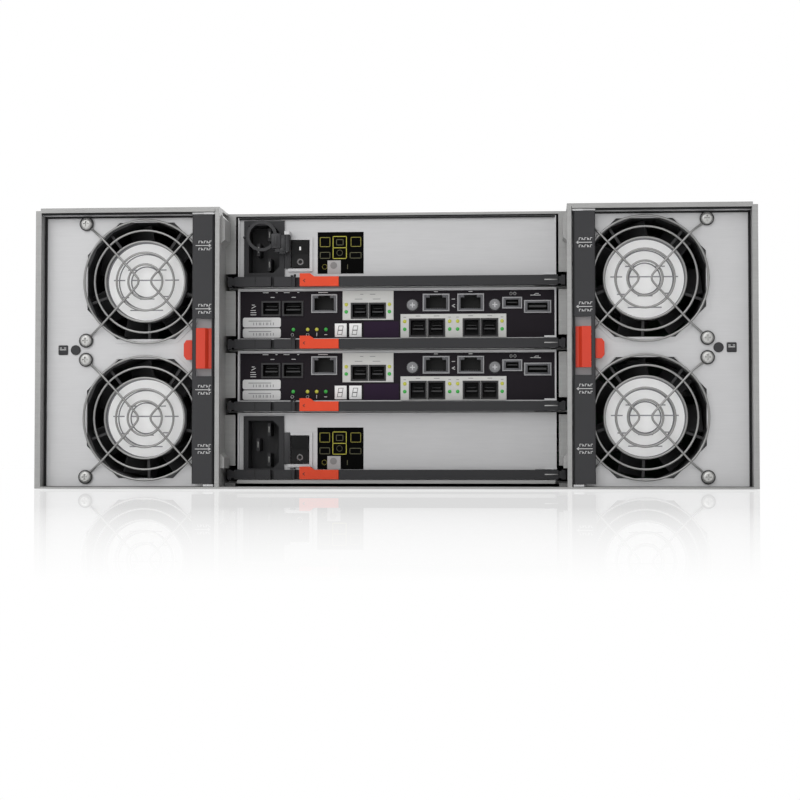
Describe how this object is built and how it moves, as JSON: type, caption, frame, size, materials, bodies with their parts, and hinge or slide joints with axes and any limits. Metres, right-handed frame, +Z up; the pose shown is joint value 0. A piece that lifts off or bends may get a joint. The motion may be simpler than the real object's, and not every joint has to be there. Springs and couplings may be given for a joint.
{
  "type": "disk shelf enclosure",
  "caption": "Rack-mount disk shelf: front drive drawers on slides, and at the rear hinged-lever canisters for fans, power and control.",
  "frame": {"origin": "middle of the underside, halfway along the depth and the width", "axes": "+Y from the canister end (rear) to the drawer end (front), +Z up, +X to the right as seen from the rear"},
  "size_m": [0.4826, 0.825, 0.174],
  "materials": {
    "zinc_plated_steel": "matt zinc-plated sheet, folded",
    "nickel_wire": "bright nickel-plated wire and screws",
    "black_fan_plastic": "moulded, slight sheen",
    "dark_painted_steel": "satin dark grey paint",
    "lever_plastic": "satin dark grey",
    "release_orange": "moulded release touch-point, satin",
    "port_steel": "stamped port shells, tin plated",
    "black_moulding": "moulded glass-filled plastic",
    "board_green": "glass-epoxy circuit board",
    "connector_black": "moulded connector body",
    "drive_aluminium": "cast drive body with a steel lid",
    "drawer_steel": "zinc-plated sheet",
    "front_lever": "satin dark grey",
    "controller_face": "dark printed overlay on sheet steel",
    "psu_steel": "matt zinc-plated sheet",
    "ear_steel": "satin dark grey"
  },
  "bodies": {
    "chassis": {"chassis_tray": "zinc_plated_steel", "top_cover": "zinc_plated_steel", "rack_ears": "ear_steel", "bay_dividers": "zinc_plated_steel", "midplane": "board_green", "midplane_connectors": "connector_black", "drawer_runners": "drawer_steel"},
    "left_fan_canister": {"left_fan_case": "zinc_plated_steel", "left_fan_frames": "black_fan_plastic", "left_fan_guards": "nickel_wire"},
    "left_fan_handle": {"left_fan_handle": "dark_painted_steel"},
    "left_fan_latch": {"left_fan_latch": "release_orange"},
    "left_upper_rotor": {"left_upper_rotor": "black_fan_plastic"},
    "left_lower_rotor": {"left_lower_rotor": "black_fan_plastic"},
    "right_fan_canister": {"right_fan_case": "zinc_plated_steel", "right_fan_frames": "black_fan_plastic", "right_fan_guards": "nickel_wire"},
    "right_fan_handle": {"right_fan_handle": "dark_painted_steel"},
    "right_fan_latch": {"right_fan_latch": "release_orange"},
    "right_upper_rotor": {"right_upper_rotor": "black_fan_plastic"},
    "right_lower_rotor": {"right_lower_rotor": "black_fan_plastic"},
    "lower_psu": {"lower_psu_case": "psu_steel", "lower_psu_inlet": "black_moulding"},
    "lower_psu_lever": {"lower_psu_lever": "lever_plastic"},
    "lower_psu_latch": {"lower_psu_latch": "release_orange"},
    "lower_psu_rocker": {"lower_psu_rocker": "black_moulding"},
    "lower_controller": {"lower_controller_case": "controller_face", "lower_controller_ports": "port_steel"},
    "lower_controller_lever": {"lower_controller_lever": "lever_plastic"},
    "lower_controller_latch": {"lower_controller_latch": "release_orange"},
    "upper_controller": {"upper_controller_case": "controller_face", "upper_controller_ports": "port_steel"},
    "upper_controller_lever": {"upper_controller_lever": "lever_plastic"},
    "upper_controller_latch": {"upper_controller_latch": "release_orange"},
    "upper_psu": {"upper_psu_case": "psu_steel", "upper_psu_inlet": "black_moulding"},
    "upper_psu_lever": {"upper_psu_lever": "lever_plastic"},
    "upper_psu_latch": {"upper_psu_latch": "release_orange"},
    "upper_psu_rocker": {"upper_psu_rocker": "black_moulding"},
    "cord_retainer": {"cord_retainer": "black_moulding"},
    "drawer_1": {"drawer_1_tray": "drawer_steel", "drawer_1_drives": "drive_aluminium"},
    "drawer_1_left_lever": {"drawer_1_left_lever": "front_lever"},
    "drawer_1_right_lever": {"drawer_1_right_lever": "front_lever"},
    "drawer_2": {"drawer_2_tray": "drawer_steel", "drawer_2_drives": "drive_aluminium"},
    "drawer_2_left_lever": {"drawer_2_left_lever": "front_lever"},
    "drawer_2_right_lever": {"drawer_2_right_lever": "front_lever"},
    "drawer_3": {"drawer_3_tray": "drawer_steel", "drawer_3_drives": "drive_aluminium"},
    "drawer_3_left_lever": {"drawer_3_left_lever": "front_lever"},
    "drawer_3_right_lever": {"drawer_3_right_lever": "front_lever"},
    "drawer_4": {"drawer_4_tray": "drawer_steel", "drawer_4_drives": "drive_aluminium"},
    "drawer_4_left_lever": {"drawer_4_left_lever": "front_lever"},
    "drawer_4_right_lever": {"drawer_4_right_lever": "front_lever"},
    "drawer_5": {"drawer_5_tray": "drawer_steel", "drawer_5_drives": "drive_aluminium"},
    "drawer_5_left_lever": {"drawer_5_left_lever": "front_lever"},
    "drawer_5_right_lever": {"drawer_5_right_lever": "front_lever"}
  },
  "joints": [
    {"name": "left_fan_canister_slide", "type": "slide", "parent": "chassis", "child": "left_fan_canister", "axis": [0, -1, 0], "range_m": [0, 0.33]},
    {"name": "left_fan_handle_hinge", "type": "hinge", "parent": "left_fan_canister", "child": "left_fan_handle", "pos_m": [-0.1118, -0.4095, 0.08615], "axis": [0, 0, 1], "range_deg": [0, 80]},
    {"name": "left_fan_latch_slide", "type": "slide", "parent": "left_fan_handle", "child": "left_fan_latch", "axis": [1, 0, 0], "range_m": [0, 0.002], "stiffness_N_per_m": 500},
    {"name": "left_upper_rotor_spin", "type": "hinge", "parent": "left_fan_canister", "child": "left_upper_rotor", "pos_m": [-0.1542, -0.3825, 0.1286], "axis": [0, 1, 0], "continuous": true},
    {"name": "left_lower_rotor_spin", "type": "hinge", "parent": "left_fan_canister", "child": "left_lower_rotor", "pos_m": [-0.1542, -0.3825, 0.0437], "axis": [0, 1, 0], "continuous": true},
    {"name": "right_fan_canister_slide", "type": "slide", "parent": "chassis", "child": "right_fan_canister", "axis": [0, -1, 0], "range_m": [0, 0.33]},
    {"name": "right_fan_handle_hinge", "type": "hinge", "parent": "right_fan_canister", "child": "right_fan_handle", "pos_m": [0.1118, -0.4095, 0.08615], "axis": [0, 0, -1], "range_deg": [0, 80]},
    {"name": "right_fan_latch_slide", "type": "slide", "parent": "right_fan_handle", "child": "right_fan_latch", "axis": [-1, 0, 0], "range_m": [0, 0.002], "stiffness_N_per_m": 500},
    {"name": "right_upper_rotor_spin", "type": "hinge", "parent": "right_fan_canister", "child": "right_upper_rotor", "pos_m": [0.1542, -0.3825, 0.1286], "axis": [0, 1, 0], "continuous": true},
    {"name": "right_lower_rotor_spin", "type": "hinge", "parent": "right_fan_canister", "child": "right_lower_rotor", "pos_m": [0.1542, -0.3825, 0.0437], "axis": [0, 1, 0], "continuous": true},
    {"name": "lower_psu_slide", "type": "slide", "parent": "chassis", "child": "lower_psu", "axis": [0, -1, 0], "range_m": [0, 0.3]},
    {"name": "lower_psu_lever_hinge", "type": "hinge", "parent": "lower_psu", "child": "lower_psu_lever", "pos_m": [0.098, -0.3828, 0.0087], "axis": [0, 0, 1], "range_deg": [0, 75]},
    {"name": "lower_psu_latch_squeeze", "type": "slide", "parent": "lower_psu_lever", "child": "lower_psu_latch", "axis": [-1, 0, 0], "range_m": [0, 0.0025], "stiffness_N_per_m": 500},
    {"name": "lower_psu_rocker_hinge", "type": "hinge", "parent": "lower_psu", "child": "lower_psu_rocker", "pos_m": [-0.0609, -0.3777, 0.0243], "axis": [1, 0, 0], "range_deg": [-20, 0]},
    {"name": "lower_controller_slide", "type": "slide", "parent": "chassis", "child": "lower_controller", "axis": [0, -1, 0], "range_m": [0, 0.3]},
    {"name": "lower_controller_lever_hinge", "type": "hinge", "parent": "lower_controller", "child": "lower_controller_lever", "pos_m": [0.098, -0.3828, 0.0515], "axis": [0, 0, 1], "range_deg": [0, 75]},
    {"name": "lower_controller_latch_squeeze", "type": "slide", "parent": "lower_controller_lever", "child": "lower_controller_latch", "axis": [-1, 0, 0], "range_m": [0, 0.0025], "stiffness_N_per_m": 500},
    {"name": "upper_controller_slide", "type": "slide", "parent": "chassis", "child": "upper_controller", "axis": [0, -1, 0], "range_m": [0, 0.3]},
    {"name": "upper_controller_lever_hinge", "type": "hinge", "parent": "upper_controller", "child": "upper_controller_lever", "pos_m": [0.098, -0.3828, 0.0908], "axis": [0, 0, 1], "range_deg": [0, 75]},
    {"name": "upper_controller_latch_squeeze", "type": "slide", "parent": "upper_controller_lever", "child": "upper_controller_latch", "axis": [-1, 0, 0], "range_m": [0, 0.0025], "stiffness_N_per_m": 500},
    {"name": "upper_psu_slide", "type": "slide", "parent": "chassis", "child": "upper_psu", "axis": [0, -1, 0], "range_m": [0, 0.3]},
    {"name": "upper_psu_lever_hinge", "type": "hinge", "parent": "upper_psu", "child": "upper_psu_lever", "pos_m": [0.098, -0.3828, 0.1301], "axis": [0, 0, 1], "range_deg": [0, 75]},
    {"name": "upper_psu_latch_squeeze", "type": "slide", "parent": "upper_psu_lever", "child": "upper_psu_latch", "axis": [-1, 0, 0], "range_m": [0, 0.0025], "stiffness_N_per_m": 500},
    {"name": "upper_psu_rocker_hinge", "type": "hinge", "parent": "upper_psu", "child": "upper_psu_rocker", "pos_m": [-0.0609, -0.3777, 0.148], "axis": [1, 0, 0], "range_deg": [-20, 0]},
    {"name": "cord_retainer_hinge", "type": "hinge", "parent": "upper_psu", "child": "cord_retainer", "pos_m": [-0.0683, -0.3858, 0.1542], "axis": [0, 0, 1], "range_deg": [0, 100]},
    {"name": "drawer_1_slide", "type": "slide", "parent": "chassis", "child": "drawer_1", "axis": [0, 1, 0], "range_m": [0, 0.42]},
    {"name": "drawer_1_left_lever_hinge", "type": "hinge", "parent": "drawer_1", "child": "drawer_1_left_lever", "pos_m": [-0.207, 0.408, 0.01832], "axis": [0, 0, 1], "range_deg": [0, 85]},
    {"name": "drawer_1_right_lever_hinge", "type": "hinge", "parent": "drawer_1", "child": "drawer_1_right_lever", "pos_m": [0.207, 0.408, 0.01832], "axis": [0, 0, -1], "range_deg": [0, 85]},
    {"name": "drawer_2_slide", "type": "slide", "parent": "chassis", "child": "drawer_2", "axis": [0, 1, 0], "range_m": [0, 0.42]},
    {"name": "drawer_2_left_lever_hinge", "type": "hinge", "parent": "drawer_2", "child": "drawer_2_left_lever", "pos_m": [-0.207, 0.408, 0.05256], "axis": [0, 0, 1], "range_deg": [0, 85]},
    {"name": "drawer_2_right_lever_hinge", "type": "hinge", "parent": "drawer_2", "child": "drawer_2_right_lever", "pos_m": [0.207, 0.408, 0.05256], "axis": [0, 0, -1], "range_deg": [0, 85]},
    {"name": "drawer_3_slide", "type": "slide", "parent": "chassis", "child": "drawer_3", "axis": [0, 1, 0], "range_m": [0, 0.42]},
    {"name": "drawer_3_left_lever_hinge", "type": "hinge", "parent": "drawer_3", "child": "drawer_3_left_lever", "pos_m": [-0.207, 0.408, 0.0868], "axis": [0, 0, 1], "range_deg": [0, 85]},
    {"name": "drawer_3_right_lever_hinge", "type": "hinge", "parent": "drawer_3", "child": "drawer_3_right_lever", "pos_m": [0.207, 0.408, 0.0868], "axis": [0, 0, -1], "range_deg": [0, 85]},
    {"name": "drawer_4_slide", "type": "slide", "parent": "chassis", "child": "drawer_4", "axis": [0, 1, 0], "range_m": [0, 0.42]},
    {"name": "drawer_4_left_lever_hinge", "type": "hinge", "parent": "drawer_4", "child": "drawer_4_left_lever", "pos_m": [-0.207, 0.408, 0.12104], "axis": [0, 0, 1], "range_deg": [0, 85]},
    {"name": "drawer_4_right_lever_hinge", "type": "hinge", "parent": "drawer_4", "child": "drawer_4_right_lever", "pos_m": [0.207, 0.408, 0.12104], "axis": [0, 0, -1], "range_deg": [0, 85]},
    {"name": "drawer_5_slide", "type": "slide", "parent": "chassis", "child": "drawer_5", "axis": [0, 1, 0], "range_m": [0, 0.42]},
    {"name": "drawer_5_left_lever_hinge", "type": "hinge", "parent": "drawer_5", "child": "drawer_5_left_lever", "pos_m": [-0.207, 0.408, 0.15528], "axis": [0, 0, 1], "range_deg": [0, 85]},
    {"name": "drawer_5_right_lever_hinge", "type": "hinge", "parent": "drawer_5", "child": "drawer_5_right_lever", "pos_m": [0.207, 0.408, 0.15528], "axis": [0, 0, -1], "range_deg": [0, 85]}
  ]
}
